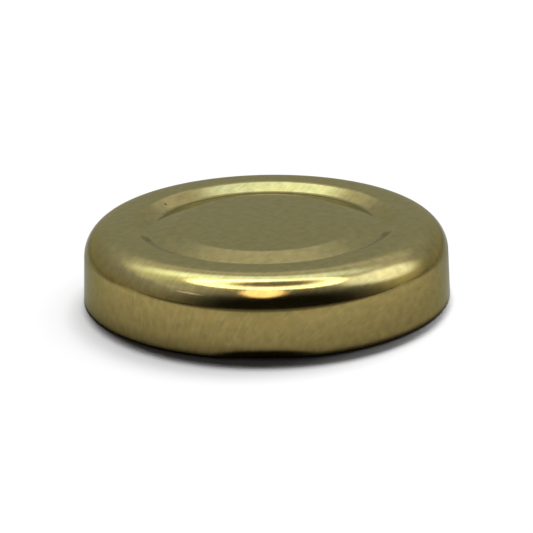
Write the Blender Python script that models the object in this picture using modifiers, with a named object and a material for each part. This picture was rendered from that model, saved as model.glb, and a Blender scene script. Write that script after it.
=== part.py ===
"""A twist off (lug) jar lid: one drawn tinplate shell, and the plastisol ring that seals it to the jar.

Metres, +Z up. The lid stands on its rolled lower edge, and the origin is on its axis at the surface below it.
One lug faces -Y, and the others follow at equal angles.
"""

from math import atan2, ceil, cos, hypot, pi, radians, sin, tan

import bmesh
import bpy
from mathutils import Matrix, Vector

# The sheet and the whole lid
DIAMETER = 0.0464
HEIGHT = 0.0095
SHEET = 0.0002

# The top, from the shoulder inwards. A width runs between the places where the outer face would turn if its
# corners were sharp, and a depth is measured down from the raised ring.
SHOULDER_FILLET = 0.0039
RING_WIDTH = 0.0061
STEP_FILLET = 0.0012
STEP_WIDTH = 0.002
TROUGH_FILLET = 0.0012
TROUGH_DEPTH = 0.00105
SLOPE_WIDTH = 0.0034
BUTTON_FILLET = 0.002
BUTTON_DEPTH = 0.0003

# The skirt leans outwards as it goes down, and its edge is rolled inwards into a bead. The bead turns under at its
# edge height, stands on its foot, and ends at its mouth, which is measured inwards as the foot is.
SKIRT_LEAN = radians(3.2)
CURL_WIDTH = 0.0015
CURL_HEIGHT = 0.0018
CURL_EDGE_HEIGHT = 0.0002
CURL_EDGE_FILLET = 0.00025
CURL_FOOT = 0.0009
CURL_FOOT_FILLET = 0.0005
CURL_INNER_FILLET = 0.00045
CURL_MOUTH = 0.00065

# The lugs, each a stretch of the bead that is pressed in from outside and drawn out inwards into a tongue
LUGS = 3
LUG_ARC = radians(33)
LUG_FULL_ARC = radians(5)
LUG_DEPTH = 0.00045
LUG_REACH = 0.0021
LUG_TONGUE = 0.0015
LUG_RISE = 0.0001

# The sealing ring, flowed into the channel under the raised ring. Its margin is what it leaves free beside the
# step, and its lip is the slope from its inner edge to its seat.
GASKET_THICKNESS = 0.001
GASKET_MARGIN = 0.0008
GASKET_LIP = 0.0005
GASKET_SEAT_WIDTH = 0.0022
GASKET_WRAP = radians(58)
BOND_GAP = 0.0001

# How finely round shapes are divided
TURN_STEPS = 72
FILLET_STEP = radians(11)
CURL_STEP = radians(30)
SKIRT_ROWS = 3

GOLD_LACQUER = (0.30, 0.235, 0.075, 1.0)
PLASTISOL = (0.72, 0.70, 0.62, 1.0)

OUTER_RADIUS = DIAMETER / 2
CURL_MIDDLE = CURL_HEIGHT / 2
SHOULDER_CORNER_RADIUS = OUTER_RADIUS - (HEIGHT - CURL_EDGE_HEIGHT) * tan(SKIRT_LEAN)
STEP_RADIUS = SHOULDER_CORNER_RADIUS - RING_WIDTH
TROUGH_RADIUS = STEP_RADIUS - STEP_WIDTH
BUTTON_RADIUS = TROUGH_RADIUS - SLOPE_WIDTH
GASKET_INNER_RADIUS = STEP_RADIUS + GASKET_MARGIN
GASKET_SEAT_INNER_RADIUS = GASKET_INNER_RADIUS + GASKET_LIP
GASKET_SEAT_OUTER_RADIUS = GASKET_SEAT_INNER_RADIUS + GASKET_SEAT_WIDTH
SHOULDER_TURN = pi / 2 - SKIRT_LEAN
SHOULDER_CENTRE_RADIUS = SHOULDER_CORNER_RADIUS - SHOULDER_FILLET * tan(SHOULDER_TURN / 2)
SHOULDER_CENTRE_HEIGHT = HEIGHT - SHOULDER_FILLET


def clear_scene():
    for obj in list(bpy.data.objects):
        bpy.data.objects.remove(obj, do_unlink=True)


def material(name, colour, metallic, roughness):
    made = bpy.data.materials.new(name)
    made.use_nodes = True
    shader = made.node_tree.nodes["Principled BSDF"]
    shader.inputs["Base Color"].default_value = colour
    shader.inputs["Metallic"].default_value = metallic
    shader.inputs["Roughness"].default_value = roughness
    return made


def add_object(name, mesh, collection, finish=None):
    obj = bpy.data.objects.new(name, mesh)
    collection.objects.link(obj)
    if finish:
        mesh.materials.append(finish)
    return obj


def profile_mesh(name, points, closed):
    """A chain of edges in the XZ plane through (radius, height) points."""
    shape = bmesh.new()
    corners = [shape.verts.new((radius, 0, height)) for radius, height in points]
    for start, end in zip(corners, corners[1:]):
        shape.edges.new((start, end))
    if closed:
        shape.edges.new((corners[-1], corners[0]))
    mesh = bpy.data.meshes.new(name)
    shape.to_mesh(mesh)
    shape.free()
    return mesh


def turn(obj):
    """Turns the object's profile about Z."""
    screw = obj.modifiers.new("turn", "SCREW")
    screw.axis = "Z"
    screw.angle = 2 * pi
    screw.steps = screw.render_steps = TURN_STEPS
    screw.use_merge_vertices = True
    screw.merge_threshold = 0.000001
    screw.use_smooth_shade = True


def rounded(corners, arc_step):
    """The outline through (radius, height, fillet) corners, each rounded by an arc tangent to its sides."""
    outline = [Vector(corners[0][:2])]
    for before, corner, after in zip(corners, corners[1:], corners[2:]):
        here = Vector(corner[:2])
        back = (Vector(before[:2]) - here).normalized()
        onward = (Vector(after[:2]) - here).normalized()
        half = back.angle(onward) / 2
        centre = here + (back + onward).normalized() * corner[2] / sin(half)
        start = here + back * corner[2] / tan(half) - centre
        end = here + onward * corner[2] / tan(half) - centre
        angle = -start.angle_signed(end)
        steps = max(2, ceil(abs(angle) / arc_step))
        outline += [centre + Matrix.Rotation(angle * step / steps, 2) @ start for step in range(steps + 1)]
    return outline + [Vector(corners[-1][:2])]


def top_outline():
    """The outer face from the centre of the button to the foot of the shoulder."""
    corners = [
        (0, HEIGHT - BUTTON_DEPTH, 0),
        (BUTTON_RADIUS, HEIGHT - BUTTON_DEPTH, BUTTON_FILLET),
        (TROUGH_RADIUS, HEIGHT - TROUGH_DEPTH, TROUGH_FILLET),
        (STEP_RADIUS, HEIGHT, STEP_FILLET),
        (SHOULDER_CORNER_RADIUS, HEIGHT, SHOULDER_FILLET),
        (OUTER_RADIUS, CURL_EDGE_HEIGHT, 0),
    ]
    return rounded(corners, FILLET_STEP)[:-1]


def skirt_outline():
    """The part of the skirt that the lugs bend, in rows from their reach down to the middle of the bead."""
    heights = [LUG_REACH + (CURL_MIDDLE - LUG_REACH) * row / SKIRT_ROWS for row in range(SKIRT_ROWS + 1)]
    return [Vector((OUTER_RADIUS - (z - CURL_EDGE_HEIGHT) * tan(SKIRT_LEAN), z)) for z in heights]


def curl_outline():
    """The bead below the skirt: it turns under, and rolls back up inside to its mouth."""
    inner_radius = OUTER_RADIUS - CURL_WIDTH
    corners = [
        (*skirt_outline()[-1], 0),
        (OUTER_RADIUS, CURL_EDGE_HEIGHT, CURL_EDGE_FILLET),
        (OUTER_RADIUS - CURL_FOOT, 0, CURL_FOOT_FILLET),
        (inner_radius, 0, CURL_INNER_FILLET),
        (inner_radius, CURL_HEIGHT, CURL_INNER_FILLET),
        (OUTER_RADIUS - CURL_MOUTH, CURL_HEIGHT, 0),
    ]
    return rounded(corners, CURL_STEP)[1:]


def smooth_ramp(share):
    share = min(max(share, 0.0), 1.0)
    return share * share * (3 - 2 * share)


def lug_share(angle):
    """1 over the middle of a lug, 0 between the lugs, for an angle about Z."""
    spacing = 2 * pi / LUGS
    off = abs((angle + pi / 2 + spacing / 2) % spacing - spacing / 2)
    return smooth_ramp((LUG_ARC / 2 - off) / (LUG_ARC / 2 - LUG_FULL_ARC / 2))


def press_lugs(mesh):
    """Pushes the outer face and the foot of the bead in at each lug, and draws its inner side out into a tongue."""
    for vertex in mesh.vertices:
        x, y, z = vertex.co
        if z < LUG_REACH:
            radius = hypot(x, y)
            lug = lug_share(atan2(y, x))
            below = 1 - z / LUG_REACH
            across = (OUTER_RADIUS - radius) / CURL_WIDTH
            inwards = 1 - lug * (LUG_DEPTH * below**3 + LUG_TONGUE * across**2) / radius
            vertex.co = (x * inwards, y * inwards, z + lug * LUG_RISE * below)


def make_shell(collection, guides):
    """The drawn sheet: its outer face is turned and pressed, then given its thickness inwards."""
    outline = top_outline() + skirt_outline() + curl_outline()
    guide = add_object("shell_profile", profile_mesh("shell_profile", outline, False), guides)
    guide.hide_render = True
    guide.display_type = "WIRE"
    turn(guide)
    turned = guide.evaluated_get(bpy.context.evaluated_depsgraph_get())
    face = bpy.data.meshes.new_from_object(turned)
    face.name = "lid_shell"
    press_lugs(face)
    shell = add_object("lid_shell", face, collection, material("gold_lacquer", GOLD_LACQUER, 1.0, 0.28))
    thicken = shell.modifiers.new("sheet", "SOLIDIFY")
    thicken.thickness = SHEET
    thicken.offset = -1
    thicken.use_even_offset = True
    face.shade_smooth()
    return shell


def gasket_outline():
    """The ring's section: its back follows the channel and the shoulder, and its seat is flat."""
    back = HEIGHT - SHEET - BOND_GAP
    seat = HEIGHT - SHEET - GASKET_THICKNESS
    wrap_radius = SHOULDER_FILLET - SHEET - BOND_GAP
    steps = ceil(GASKET_WRAP / FILLET_STEP)
    centre = Vector((SHOULDER_CENTRE_RADIUS, SHOULDER_CENTRE_HEIGHT))
    angles = [GASKET_WRAP * step / steps for step in range(steps + 1)]
    return [
        (GASKET_INNER_RADIUS, back),
        *[centre + wrap_radius * Vector((sin(a), cos(a))) for a in angles],
        (GASKET_SEAT_OUTER_RADIUS, seat),
        (GASKET_SEAT_INNER_RADIUS, seat),
    ]


def make_gasket(collection):
    ring = add_object(
        "sealing_gasket",
        profile_mesh("sealing_gasket", gasket_outline(), True),
        collection,
        material("plastisol", PLASTISOL, 0.0, 0.5),
    )
    turn(ring)
    return ring


def main():
    clear_scene()
    lid = bpy.data.collections.new("twist_off_jar_lid")
    guides = bpy.data.collections.new("guides")
    for collection in (lid, guides):
        bpy.context.scene.collection.children.link(collection)
    make_shell(lid, guides)
    make_gasket(lid)


main()
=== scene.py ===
"""Looks for a gold-lacquered twist off jar lid: the drawn shell, its sealing ring and a white studio."""
from math import atan2, ceil, cos, hypot, pi, radians, sin, tan

import bpy
from mathutils import Euler, Matrix, Quaternion, Vector


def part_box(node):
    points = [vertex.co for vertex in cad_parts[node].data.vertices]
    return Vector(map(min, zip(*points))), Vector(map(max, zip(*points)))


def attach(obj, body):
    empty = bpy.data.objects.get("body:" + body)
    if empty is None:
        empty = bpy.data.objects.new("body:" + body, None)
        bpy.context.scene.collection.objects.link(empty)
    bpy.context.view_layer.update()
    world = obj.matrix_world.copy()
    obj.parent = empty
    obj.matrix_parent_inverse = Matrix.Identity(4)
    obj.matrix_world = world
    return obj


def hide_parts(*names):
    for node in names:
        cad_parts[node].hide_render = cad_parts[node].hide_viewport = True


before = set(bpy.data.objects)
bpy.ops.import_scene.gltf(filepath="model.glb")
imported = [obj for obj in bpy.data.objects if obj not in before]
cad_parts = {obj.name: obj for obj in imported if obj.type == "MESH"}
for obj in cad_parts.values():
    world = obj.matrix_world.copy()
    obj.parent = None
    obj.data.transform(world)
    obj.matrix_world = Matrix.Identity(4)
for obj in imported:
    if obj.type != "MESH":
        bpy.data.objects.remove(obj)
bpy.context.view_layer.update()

# Sizes of the shell: the first two from the frame, and the others as in the part's source. Widths run inwards
# from the shoulder, and depths are below the raised ring.
OUTER_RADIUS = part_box("lid_shell")[1].x
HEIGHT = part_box("lid_shell")[1].z
SHEET = 0.0002
SHOULDER_FILLET = 0.0039
RING_WIDTH = 0.0061
STEP_FILLET = 0.0012
STEP_WIDTH = 0.002
TROUGH_FILLET = 0.0012
TROUGH_DEPTH = 0.00105
SLOPE_WIDTH = 0.0034
BUTTON_FILLET = 0.002
BUTTON_DEPTH = 0.0003
SKIRT_LEAN = radians(3.2)
CURL_WIDTH = 0.0015
CURL_HEIGHT = 0.0018
CURL_EDGE_HEIGHT = 0.0002
CURL_EDGE_FILLET = 0.00025
CURL_FOOT = 0.0009
CURL_FOOT_FILLET = 0.0005
CURL_INNER_FILLET = 0.00045
CURL_MOUTH = 0.00065
LUGS = 3
LUG_ARC = radians(33)
LUG_FULL_ARC = radians(5)
LUG_DEPTH = 0.00045
LUG_REACH = 0.0021
LUG_TONGUE = 0.0015
LUG_RISE = 0.0001

# Sizes of the sealing ring, whose edges are rounded here alone
GASKET_THICKNESS = 0.001
GASKET_MARGIN = 0.0008
GASKET_LIP = 0.0005
GASKET_SEAT_WIDTH = 0.0022
GASKET_WRAP = radians(58)
GASKET_EDGE = 0.00018
GASKET_EDGE_STEPS = 4
BOND_GAP = 0.0001

# How finely the visible surfaces are divided
TURN_STEPS = 288
FILLET_STEP = radians(3)
CURL_STEP = radians(8)
SKIRT_ROWS = 12
BUTTON_ROWS = 10

# The direction in which the tinplate was rolled, as an angle from +X on the flat blank
GRAIN_ANGLE = radians(50)

SHOULDER_CORNER_RADIUS = OUTER_RADIUS - (HEIGHT - CURL_EDGE_HEIGHT) * tan(SKIRT_LEAN)
STEP_RADIUS = SHOULDER_CORNER_RADIUS - RING_WIDTH
TROUGH_RADIUS = STEP_RADIUS - STEP_WIDTH
BUTTON_RADIUS = TROUGH_RADIUS - SLOPE_WIDTH
SHOULDER_TURN = pi / 2 - SKIRT_LEAN
SHOULDER_CENTRE_RADIUS = SHOULDER_CORNER_RADIUS - SHOULDER_FILLET * tan(SHOULDER_TURN / 2)
SHOULDER_CENTRE_HEIGHT = HEIGHT - SHOULDER_FILLET


# Shader nodes

def fill(tree, socket, value):
    """Gives a node's input a value, or links another node's output to it."""
    if isinstance(value, bpy.types.NodeSocket):
        tree.links.new(value, socket)
    else:
        socket.default_value = value


def add_node(tree, kind, inputs=None, **settings):
    """A shader node. settings are its properties, and inputs has a value or an output for each socket."""
    made = tree.nodes.new(kind)
    for name, value in settings.items():
        setattr(made, name, value)
    for socket, value in (inputs or {}).items():
        fill(tree, made.inputs[socket], value)
    return made


def calculate(tree, operation, *values):
    return add_node(tree, "ShaderNodeMath", dict(enumerate(values)), operation=operation).outputs[0]


def vector_calculate(tree, operation, *values, output="Vector"):
    made = add_node(tree, "ShaderNodeVectorMath", dict(enumerate(values)), operation=operation)
    return made.outputs[output]


def rotated(tree, vector, angle):
    """The vector turned about Z."""
    return add_node(tree, "ShaderNodeMapping", {"Vector": vector, "Rotation": (0, 0, angle)}).outputs[0]


def attribute(tree, name):
    return add_node(tree, "ShaderNodeAttribute", attribute_name=name).outputs["Vector"]


def noise(tree, vector, scale, detail=2):
    inputs = {"Vector": vector, "Scale": scale, "Detail": detail}
    return add_node(tree, "ShaderNodeTexNoise", inputs).outputs["Fac"]


def ramp(tree, value, low, high, to_low, to_high, interpolation="LINEAR"):
    inputs = {"Value": value, "From Min": low, "From Max": high, "To Min": to_low, "To Max": to_high}
    return add_node(tree, "ShaderNodeMapRange", inputs, interpolation_type=interpolation).outputs[0]


def mixed_colour(tree, share, first, second):
    made = add_node(tree, "ShaderNodeMix", data_type="RGBA")
    for name, value in {"Factor": share, "A": first, "B": second}.items():
        fill(tree, next(s for s in made.inputs if s.name == name and s.enabled), value)
    return next(s for s in made.outputs if s.enabled)


def blended_stops(tree, value, stops):
    """A colour that blends through (position, colour) stops."""
    made = add_node(tree, "ShaderNodeValToRGB", {0: value})
    elements = made.color_ramp.elements
    for (position, colour), element in zip(stops, elements):
        element.position = position
        element.color = (*colour, 1)
    for position, colour in stops[2:]:
        elements.new(position).color = (*colour, 1)
    return made.outputs[0]


def new_material(name):
    made = bpy.data.materials.new(name)
    made.use_nodes = True
    return made, made.node_tree, made.node_tree.nodes["Principled BSDF"]


def finish_surface(tree, shader, sockets):
    for socket, value in sockets.items():
        fill(tree, shader.inputs[socket], value)


def bump(tree, height, distance, strength=1.0):
    """A normal for a surface that rises by the distance where height is 1."""
    inputs = {"Height": height, "Distance": distance, "Strength": strength}
    return add_node(tree, "ShaderNodeBump", inputs).outputs[0]


# Materials

# Where a noise counts as low and as high. The scale of every noise is in cells per metre.
NOISE_RANGE = (0.3, 0.7)

GOLD_DARK = (0.226, 0.179, 0.060, 1)
GOLD_LIGHT = (0.314, 0.247, 0.085, 1)
GOLD_BROWN = (0.292, 0.212, 0.066, 1)
GOLD_EDGE_TINT = (0.8, 0.8, 0.6, 1)
GOLD_ROUGHNESS = (0.09, 0.14)
GOLD_COAT = 0.12
GOLD_COAT_ROUGHNESS = 0.05

# The fine grain and the streaks of the rolling. Along the rolling they have only a share of their scale.
FINE_SCALE = 7500
FINE_ALONG = 0.1
STREAK_SCALE = 3200
STREAK_ALONG = 0.13
GRAIN_DEPTH = 0.0000019
GRAIN_FINE_SHARE = 0.25
GRAIN_ANISOTROPY = 0.25

# Streaks and clouds make the gold darker and lighter, and other clouds make it browner
CLOUD_SCALE = 900
STREAK_SHARE = 0.4
TONE_RANGE = (0.35, 0.65)
BROWN_SCALE = 700
BROWN_RANGE = (0.45, 0.7)
BROWN_SHARE = 0.7
BROWN_NOISE_SHIFT = (1, 0, 0)

# A dark speck in the lacquer, by its place on the flat blank
SPECK_PLACE = (-0.0134, 0.0084, 0)
SPECK_RADIUS = 0.00032
SPECK_CORE_RADIUS = SPECK_RADIUS / 3
SPECK_SHARE = 0.75
SPECK_COLOUR = (0.03, 0.02, 0.008, 1)


def gold_lacquer():
    """Transparent gold lacquer over rolled tinplate, whose grain follows the flat blank of the lid."""
    made, tree, shader = new_material("gold_lacquer")
    blank = attribute(tree, "blank")
    rolled = rotated(tree, blank, -GRAIN_ANGLE)
    fine = noise(tree, vector_calculate(tree, "MULTIPLY", rolled, (FINE_ALONG, 1, 1)), FINE_SCALE, detail=1)
    streaks = noise(tree, vector_calculate(tree, "MULTIPLY", rolled, (STREAK_ALONG, 1, 1)), STREAK_SCALE)
    streak_tone = calculate(tree, "MULTIPLY", streaks, STREAK_SHARE)
    cloud_tone = calculate(tree, "MULTIPLY", noise(tree, blank, CLOUD_SCALE), 1 - STREAK_SHARE)
    tone = ramp(tree, calculate(tree, "ADD", streak_tone, cloud_tone), *TONE_RANGE, 0, 1)
    elsewhere = vector_calculate(tree, "ADD", blank, BROWN_NOISE_SHIFT)
    browner = ramp(tree, noise(tree, elsewhere, BROWN_SCALE), *BROWN_RANGE, 0, BROWN_SHARE)
    colour = mixed_colour(tree, browner, mixed_colour(tree, tone, GOLD_DARK, GOLD_LIGHT), GOLD_BROWN)
    off_speck = vector_calculate(tree, "DISTANCE", blank, SPECK_PLACE, output="Value")
    speck = ramp(tree, off_speck, SPECK_CORE_RADIUS, SPECK_RADIUS, SPECK_SHARE, 0, "SMOOTHSTEP")
    height = calculate(tree, "ADD", streaks, calculate(tree, "MULTIPLY", fine, GRAIN_FINE_SHARE))
    finish_surface(tree, shader, {
        "Base Color": mixed_colour(tree, speck, colour, SPECK_COLOUR),
        "Metallic": 1,
        "Specular Tint": GOLD_EDGE_TINT,
        "Roughness": ramp(tree, fine, *NOISE_RANGE, *GOLD_ROUGHNESS),
        "Anisotropic": GRAIN_ANISOTROPY,
        "Tangent": attribute(tree, "grain"),
        "Coat Weight": GOLD_COAT,
        "Coat Roughness": GOLD_COAT_ROUGHNESS,
        "Normal": bump(tree, height, GRAIN_DEPTH),
    })
    return made


INNER_DARK = (0.66, 0.62, 0.52, 1)
INNER_LIGHT = (0.74, 0.71, 0.62, 1)
INNER_ROUGHNESS = (0.28, 0.38)
INNER_CLOUD_SCALE = 500
INNER_WAVE_SCALE = 1800
INNER_WAVE_DEPTH = 0.000004


def inner_lacquer():
    """The warm white food lacquer on the inside, with faint flow marks."""
    made, tree, shader = new_material("inner_lacquer")
    blank = attribute(tree, "blank")
    clouds = noise(tree, blank, INNER_CLOUD_SCALE, detail=4)
    shade = ramp(tree, clouds, *NOISE_RANGE, 0, 1)
    finish_surface(tree, shader, {
        "Base Color": mixed_colour(tree, shade, INNER_DARK, INNER_LIGHT),
        "Roughness": ramp(tree, clouds, *NOISE_RANGE, *INNER_ROUGHNESS),
        "Normal": bump(tree, noise(tree, blank, INNER_WAVE_SCALE), INNER_WAVE_DEPTH),
    })
    return made


PLASTISOL_DARK = (0.66, 0.63, 0.54, 1)
PLASTISOL_LIGHT = (0.76, 0.74, 0.66, 1)
PLASTISOL_ROUGHNESS = (0.42, 0.56)
PLASTISOL_CLOUD_SCALE = 420
PIT_SCALE = 5200
PIT_RANGE = (0.28, 0.40)
PIT_DEPTH = 0.00002
PIT_STRENGTH = 0.5


def plastisol():
    """Cured off-white sealing compound: satin, with a slightly uneven, pitted skin."""
    made, tree, shader = new_material("plastisol")
    place = add_node(tree, "ShaderNodeTexCoord").outputs["Object"]
    clouds = noise(tree, place, PLASTISOL_CLOUD_SCALE, detail=4)
    shade = ramp(tree, clouds, *NOISE_RANGE, 0, 1)
    pits = ramp(tree, noise(tree, place, PIT_SCALE), *PIT_RANGE, 0, 1, "SMOOTHSTEP")
    finish_surface(tree, shader, {
        "Base Color": mixed_colour(tree, shade, PLASTISOL_DARK, PLASTISOL_LIGHT),
        "Roughness": ramp(tree, clouds, *NOISE_RANGE, *PLASTISOL_ROUGHNESS),
        "Normal": bump(tree, pits, PIT_DEPTH, PIT_STRENGTH),
    })
    return made


# Shapes

def add_object(name, data):
    made = bpy.data.objects.new(name, data)
    bpy.context.scene.collection.objects.link(made)
    return made


def rounded(corners, arc_step):
    """The outline through (radius, height, fillet) corners, rounded by arcs tangent to their sides."""
    outline = [Vector(corners[0][:2])]
    for before, corner, after in zip(corners, corners[1:], corners[2:]):
        here = Vector(corner[:2])
        back = (Vector(before[:2]) - here).normalized()
        onward = (Vector(after[:2]) - here).normalized()
        half = back.angle(onward) / 2
        centre = here + (back + onward).normalized() * corner[2] / sin(half)
        start = here + back * corner[2] / tan(half) - centre
        end = here + onward * corner[2] / tan(half) - centre
        angle = -start.angle_signed(end)
        steps = max(2, ceil(abs(angle) / arc_step))
        outline += [centre + Matrix.Rotation(angle * step / steps, 2) @ start for step in range(steps + 1)]
    return outline + [Vector(corners[-1][:2])]


def top_outline():
    """The outer face from the centre of the button to the foot of the shoulder."""
    corners = [
        (0, HEIGHT - BUTTON_DEPTH, 0),
        (BUTTON_RADIUS, HEIGHT - BUTTON_DEPTH, BUTTON_FILLET),
        (TROUGH_RADIUS, HEIGHT - TROUGH_DEPTH, TROUGH_FILLET),
        (STEP_RADIUS, HEIGHT, STEP_FILLET),
        (SHOULDER_CORNER_RADIUS, HEIGHT, SHOULDER_FILLET),
        (OUTER_RADIUS, CURL_EDGE_HEIGHT, 0),
    ]
    centre, *rest = rounded(corners, FILLET_STEP)[:-1]
    return [centre.lerp(rest[0], (row / BUTTON_ROWS) ** 2) for row in range(BUTTON_ROWS)] + rest


def skirt_outline():
    """The part of the skirt that the lugs bend, in rows from their reach to where the bead turns under."""
    foot = CURL_EDGE_HEIGHT + CURL_EDGE_FILLET
    heights = [LUG_REACH + (foot - LUG_REACH) * row / SKIRT_ROWS for row in range(SKIRT_ROWS + 1)]
    return [Vector((OUTER_RADIUS - (z - CURL_EDGE_HEIGHT) * tan(SKIRT_LEAN), z)) for z in heights]


def curl_outline():
    """The bead below the skirt: it turns under, and rolls back up inside to its mouth."""
    inner_radius = OUTER_RADIUS - CURL_WIDTH
    corners = [
        (*skirt_outline()[-1], 0),
        (OUTER_RADIUS, CURL_EDGE_HEIGHT, CURL_EDGE_FILLET),
        (OUTER_RADIUS - CURL_FOOT, 0, CURL_FOOT_FILLET),
        (inner_radius, 0, CURL_INNER_FILLET),
        (inner_radius, CURL_HEIGHT, CURL_INNER_FILLET),
        (OUTER_RADIUS - CURL_MOUTH, CURL_HEIGHT, 0),
    ]
    return rounded(corners, CURL_STEP)[1:]


def turned_mesh(name, outline, closed):
    """A mesh turned from a (radius, height) outline, which knows the rolled sheet that it was drawn from.

    The attribute blank is each point's place on the flat sheet, and grain is the rolling direction there now.
    """
    angles = [2 * pi * step / TURN_STEPS for step in range(TURN_STEPS)]
    grain = Vector((cos(GRAIN_ANGLE), sin(GRAIN_ANGLE)))
    points, blanks, grains, rings = [], [], [], []
    travelled = 0.0
    last = len(outline) - 1
    for index, place in enumerate(outline):
        travelled += (place - outline[index - 1]).length if index else place.x
        run = (outline[min(index + 1, last)] - outline[max(index - 1, 0)]).normalized()
        ring = []
        for angle in angles if place.x else angles[:1]:
            outwards = Vector((cos(angle), sin(angle)))
            around = Vector((-sin(angle), cos(angle)))
            ring.append(len(points))
            points.append((place.x * outwards.x, place.x * outwards.y, place.y))
            blanks.append((travelled * outwards.x, travelled * outwards.y, 0))
            down = Vector((run.x * outwards.x, run.x * outwards.y, run.y))
            grains.append(down * grain.dot(outwards) + Vector((*around, 0)) * grain.dot(around))
        rings.append(ring if place.x else ring * TURN_STEPS)
    faces = []
    for upper, lower in zip(rings, rings[1:] + rings[:closed]):
        for step in range(TURN_STEPS):
            after = (step + 1) % TURN_STEPS
            faces.append(list(dict.fromkeys((upper[step], lower[step], lower[after], upper[after]))))
    mesh = bpy.data.meshes.new(name)
    mesh.from_pydata(points, [], faces)
    for title, values in (("blank", blanks), ("grain", grains)):
        layer = mesh.attributes.new(title, "FLOAT_VECTOR", "POINT")
        layer.data.foreach_set("vector", [number for value in values for number in value])
    mesh.shade_smooth()
    return mesh


def smooth_ramp(share):
    share = min(max(share, 0.0), 1.0)
    return share * share * (3 - 2 * share)


def lug_share(angle):
    """1 over the middle of a lug, 0 between the lugs, for an angle about Z."""
    spacing = 2 * pi / LUGS
    off = abs((angle + pi / 2 + spacing / 2) % spacing - spacing / 2)
    return smooth_ramp((LUG_ARC / 2 - off) / (LUG_ARC / 2 - LUG_FULL_ARC / 2))


def press_lugs(mesh):
    """Pushes the outer face and the bead's foot in at each lug, and draws its inside out into a tongue."""
    for vertex in mesh.vertices:
        x, y, z = vertex.co
        if z < LUG_REACH:
            radius = hypot(x, y)
            lug = lug_share(atan2(y, x))
            below = 1 - z / LUG_REACH
            across = (OUTER_RADIUS - radius) / CURL_WIDTH
            inwards = 1 - lug * (LUG_DEPTH * below**3 + LUG_TONGUE * across**2) / radius
            vertex.co = (x * inwards, y * inwards, z + lug * LUG_RISE * below)


def make_shell():
    mesh = turned_mesh("shell", top_outline() + skirt_outline() + curl_outline(), closed=False)
    press_lugs(mesh)
    shell = add_object("shell", mesh)
    mesh.materials.append(gold_lacquer())
    mesh.materials.append(inner_lacquer())
    sheet = shell.modifiers.new("sheet", "SOLIDIFY")
    sheet.thickness = SHEET
    sheet.offset = -1
    sheet.use_even_offset = True
    sheet.material_offset = 1
    return shell


def gasket_outline():
    """The ring's section: its back follows the channel and the shoulder, and its seat is flat."""
    back = HEIGHT - SHEET - BOND_GAP
    seat = HEIGHT - SHEET - GASKET_THICKNESS
    inner = STEP_RADIUS + GASKET_MARGIN
    seat_inner = inner + GASKET_LIP
    seat_outer = seat_inner + GASKET_SEAT_WIDTH
    wrap_radius = SHOULDER_FILLET - SHEET - BOND_GAP
    centre = Vector((SHOULDER_CENTRE_RADIUS, SHOULDER_CENTRE_HEIGHT))
    steps = ceil(GASKET_WRAP / FILLET_STEP)
    angles = [GASKET_WRAP * step / steps for step in range(steps + 1)]
    return [
        Vector((inner, back)),
        *[centre + wrap_radius * Vector((sin(a), cos(a))) for a in angles],
        Vector((seat_outer, seat)),
        Vector((seat_inner, seat)),
    ]


def make_gasket():
    mesh = turned_mesh("gasket", gasket_outline(), closed=True)
    gasket = add_object("gasket", mesh)
    mesh.materials.append(plastisol())
    soften = gasket.modifiers.new("soften", "BEVEL")
    soften.width = GASKET_EDGE
    soften.segments = GASKET_EDGE_STEPS
    soften.limit_method = "ANGLE"
    return gasket


# Studio

# The whole studio is turned a little about the lid, so that the camera stands to the right of the front lug
STUDIO_TURN = radians(1.5)
STUDIO = Matrix.Rotation(STUDIO_TURN, 3, "Z")

# Where the camera stands, seen from the centre of the lid's top, how far below that centre it looks, and its
# roll. The angles are in radians, and the lens is in millimetres.
CAMERA_DISTANCE = 0.2088
CAMERA_ELEVATION = 0.3161
CAMERA_AIM_BELOW = 0.0284
CAMERA_ROLL = 0.0201
CAMERA_LENS = 112.33
CAMERA_NEAR = 0.01
CAMERA_FAR = 10

FLOOR_SIZE = 3.0
FLOOR_COLOUR = (0.96, 0.96, 0.96, 1)

# Painted shade and light in the floor's colour where the metal mirrors it, with a painted shadow of the lid
# near
# its foot: the product of these ramps. Each runs along y, away from the camera, or along the distance from
# the lid's axis. It has the two places that it runs between, the brightness at each, and its form.
PAINTED_FLOOR_SHADE = {
    "lit near the lid": ("y", -0.055, -0.043, 0.3, 0.84, "SMOOTHSTEP"),
    "dark far in front": ("y", -0.16, -0.055, 0.1, 1, "LINEAR"),
    "dimmer behind": ("y", -0.012, 0.02, 1, 0.5, "SMOOTHSTEP"),
    "shaded by the lid": ("distance", 0.024, 0.044, 0.62, 1.2, "LINEAR"),
    "fading outwards": ("distance", 0.03, 0.1, 1, 0.72, "SMOOTHSTEP"),
}


def make_camera():
    """At the photograph's angle: it circles the centre of the lid's top and looks a little below it."""
    data = bpy.data.cameras.new("camera")
    data.lens = CAMERA_LENS
    data.clip_start = CAMERA_NEAR
    data.clip_end = CAMERA_FAR
    camera = add_object("camera", data)
    back = STUDIO @ Vector((0, -cos(CAMERA_ELEVATION), sin(CAMERA_ELEVATION)))
    camera.location = Vector((0, 0, HEIGHT)) + CAMERA_DISTANCE * back
    look = Euler((pi / 2 - CAMERA_ELEVATION - CAMERA_AIM_BELOW, 0, STUDIO_TURN)).to_quaternion()
    camera.rotation_euler = (look @ Quaternion((0, 0, 1), -CAMERA_ROLL)).to_euler()
    bpy.context.scene.camera = camera


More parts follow.
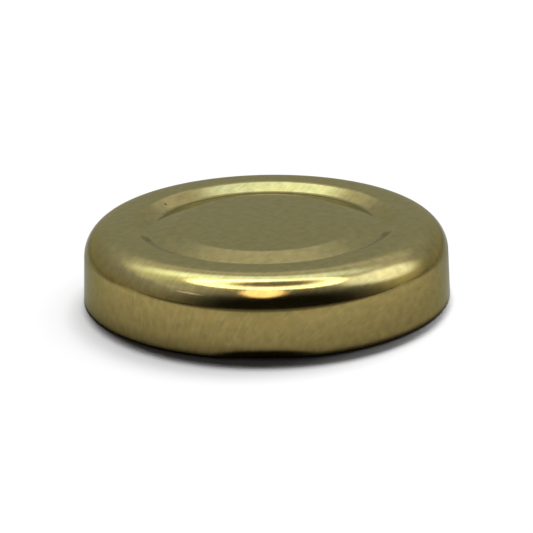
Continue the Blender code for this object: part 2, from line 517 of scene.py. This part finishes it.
def make_floor():
    """Pale and matt, with the ramps' painted shade and light in its colour where the metal mirrors it."""
    half = FLOOR_SIZE / 2
    corners = [(-half, -half, 0), (half, -half, 0), (half, half, 0), (-half, half, 0)]
    mesh = bpy.data.meshes.new("floor")
    mesh.from_pydata(corners, [], [(0, 1, 2, 3)])
    floor = add_object("floor", mesh)
    floor.rotation_euler.z = STUDIO_TURN
    made, tree, shader = new_material("floor")
    place = add_node(tree, "ShaderNodeTexCoord").outputs["Object"]
    measures = {
        "y": add_node(tree, "ShaderNodeSeparateXYZ", {0: place}).outputs["Y"],
        "distance": vector_calculate(tree, "LENGTH", place, output="Value"),
    }
    # Painted shade and light, the lid's painted shadow among it, seen only by mirrored rays; the camera sees
    # the plain colour
    painted_shade = 1
    for measure, *shape in PAINTED_FLOOR_SHADE.values():
        painted_shade = calculate(tree, "MULTIPLY", painted_shade, ramp(tree, measures[measure], *shape))
    mirrored = add_node(tree, "ShaderNodeLightPath").outputs["Is Glossy Ray"]
    finish_surface(tree, shader, {
        "Base Color": mixed_colour(tree, mirrored, FLOOR_COLOUR, painted_shade),
        "Roughness": 1,
        "Specular IOR Level": 0,
    })
    mesh.materials.append(made)


# Each lamp that lights the floor and the soft colours: its azimuth, from straight behind the lid towards the
# right, its elevation, its width in the sky, and the share of the floor's white that it gives. The wider it
# is, the softer is the edge of its shadow.
LAMPS = (
    ("key", radians(0), radians(66), radians(10), 0.45),
    ("high", radians(-15), radians(70), radians(10), 0.18),
    ("fill", radians(15), radians(52), radians(20), 0.30),
    ("side", radians(45), radians(45), radians(35), 0.12),
)


def make_lamps():
    for name, azimuth, elevation, width, share in LAMPS:
        data = bpy.data.lights.new(name, "SUN")
        data.angle = width
        data.energy = pi * share / sin(elevation)
        lamp = add_object(name, data)
        across = cos(elevation)
        towards = STUDIO @ Vector((sin(azimuth) * across, cos(azimuth) * across, sin(elevation)))
        lamp.rotation_euler = towards.to_track_quat("Z", "Y").to_euler()
        lamp.visible_glossy = False


# What the metal mirrors. Each soft oval panel lies on a map of the sky, in degrees: across to the right, and
# from straight above towards the camera. It has a middle, half its size, a turn, a soft edge and a colour.
PANELS = {
    "overhead": ((1.5, 5.8), (30.5, 19.5), 12, 0.1, (6.7, 6.7, 7.0)),
    "rear": ((-4, -20), (32, 11), 5, 0.5, (1.4, 1.95, 2.8)),
    "right": ((51, -3), (25, 17.5), -58, 0.35, (1.75, 2.1, 3.0)),
    "right foot": ((66, -6), (24, 20), 0, 0.9, (0.6, 0.56, 0.3)),
    "left": ((-24, -15), (20, 16), 0, 0.9, (0.9, 1.1, 0.75)),
    "front": ((-2, 38), (11, 14.5), 0, 0.3, (4.8, 3.7, 2.9)),
    "glint": ((-46, 34), (9, 1.4), 50, 0.5, (2.0, 1.7, 2.2)),
}

# An oval on the same map where the room is nearly dark, which parts the highlight along the shoulder
SEAM = ((3, 4.5), (18, 12), 0, 0.5)
SEAM_DIMMING = 0.94

# The far side of the room, behind the lid, by the sine of the elevation, and the near side. One passes into
# the other between two angles from the far side's middle, given by their cosines.
FAR_SKY = (
    (0.0, (0.50, 0.46, 0.35)),
    (0.27, (0.56, 0.59, 0.66)),
    (0.33, (0.58, 0.61, 0.69)),
    (0.53, (0.70, 0.77, 0.97)),
    (0.66, (1.2, 1.28, 1.55)),
    (0.87, (1.0, 1.05, 1.2)),
)
FAR_MIDDLE = (-0.15, 0.99, 0)
FAR_EDGE = -0.1
NEAR_SKY = (0.02, 0.02, 0.02, 1)
NEAR_EDGE = -0.85

# What lights the soft colours besides the lamps, and what the camera sees behind the lid
DIM_SKY = (0.024, 0.024, 0.026, 1)
WHITE = (1, 1, 1, 1)


def sky_map(tree, towards, height):
    """The place on the map of the sky that a direction has: its angle from straight above, laid out flat."""
    from_zenith = calculate(tree, "ARCCOSINE", height)
    radians_per_unit = calculate(tree, "DIVIDE", from_zenith, calculate(tree, "SINE", from_zenith))
    inputs = {
        0: vector_calculate(tree, "MULTIPLY", towards, (1, -1, 0)),
        "Scale": calculate(tree, "MULTIPLY", radians_per_unit, 180 / pi),
    }
    return add_node(tree, "ShaderNodeVectorMath", inputs, operation="SCALE").outputs[0]


def panel_mask(tree, sky, middle, half_size, turn, soft):
    """1 inside an oval panel, falling to 0 over its soft edge."""
    inputs = {
        "Vector": sky,
        "Location": (*middle, 0),
        "Rotation": (0, 0, radians(turn)),
        "Scale": (*half_size, 1),
    }
    inside = add_node(tree, "ShaderNodeMapping", inputs, vector_type="TEXTURE").outputs[0]
    out = vector_calculate(tree, "LENGTH", inside, output="Value")
    return ramp(tree, out, 1 - soft, 1 + soft, 1, 0, "SMOOTHSTEP")


def room_light(tree):
    """The room that the metal mirrors: its two sides, and the panels."""
    towards = rotated(tree, add_node(tree, "ShaderNodeTexCoord").outputs["Generated"], -STUDIO_TURN)
    height = add_node(tree, "ShaderNodeSeparateXYZ", {0: towards}).outputs["Z"]
    facing = vector_calculate(tree, "DOT_PRODUCT", towards, FAR_MIDDLE, output="Value")
    far = ramp(tree, facing, NEAR_EDGE, FAR_EDGE, 0, 1, "SMOOTHSTEP")
    light = mixed_colour(tree, far, NEAR_SKY, blended_stops(tree, height, FAR_SKY))
    sky = sky_map(tree, towards, height)
    for *shape, colour in PANELS.values():
        light = vector_calculate(tree, "MULTIPLY_ADD", panel_mask(tree, sky, *shape), colour, light)
    seam = ramp(tree, panel_mask(tree, sky, *SEAM), 0, 1, 1, 1 - SEAM_DIMMING)
    return vector_calculate(tree, "MULTIPLY", light, seam)


def make_world():
    """White behind the lid, and the room in what the metal mirrors."""
    world = bpy.data.worlds.new("studio")
    bpy.context.scene.world = world
    world.use_nodes = True
    tree = world.node_tree
    tree.nodes.clear()
    path = add_node(tree, "ShaderNodeLightPath").outputs
    direct = calculate(tree, "LESS_THAN", path["Diffuse Depth"], 1)
    mirrored = calculate(tree, "MULTIPLY", path["Is Glossy Ray"], direct)
    light = mixed_colour(tree, mirrored, DIM_SKY, room_light(tree))
    light = mixed_colour(tree, path["Is Camera Ray"], light, WHITE)
    background = add_node(tree, "ShaderNodeBackground", {"Color": light})
    add_node(tree, "ShaderNodeOutputWorld", {"Surface": background.outputs[0]})


make_camera()
make_floor()
make_lamps()
make_world()

shell = make_shell()
gasket = make_gasket()
for piece, node, slot in ((shell, "lid_shell", "tinplate"), (gasket, "sealing_gasket", "plastisol")):
    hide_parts(node)
    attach(piece, "root")

bpy.context.scene.view_settings.view_transform = "Standard"
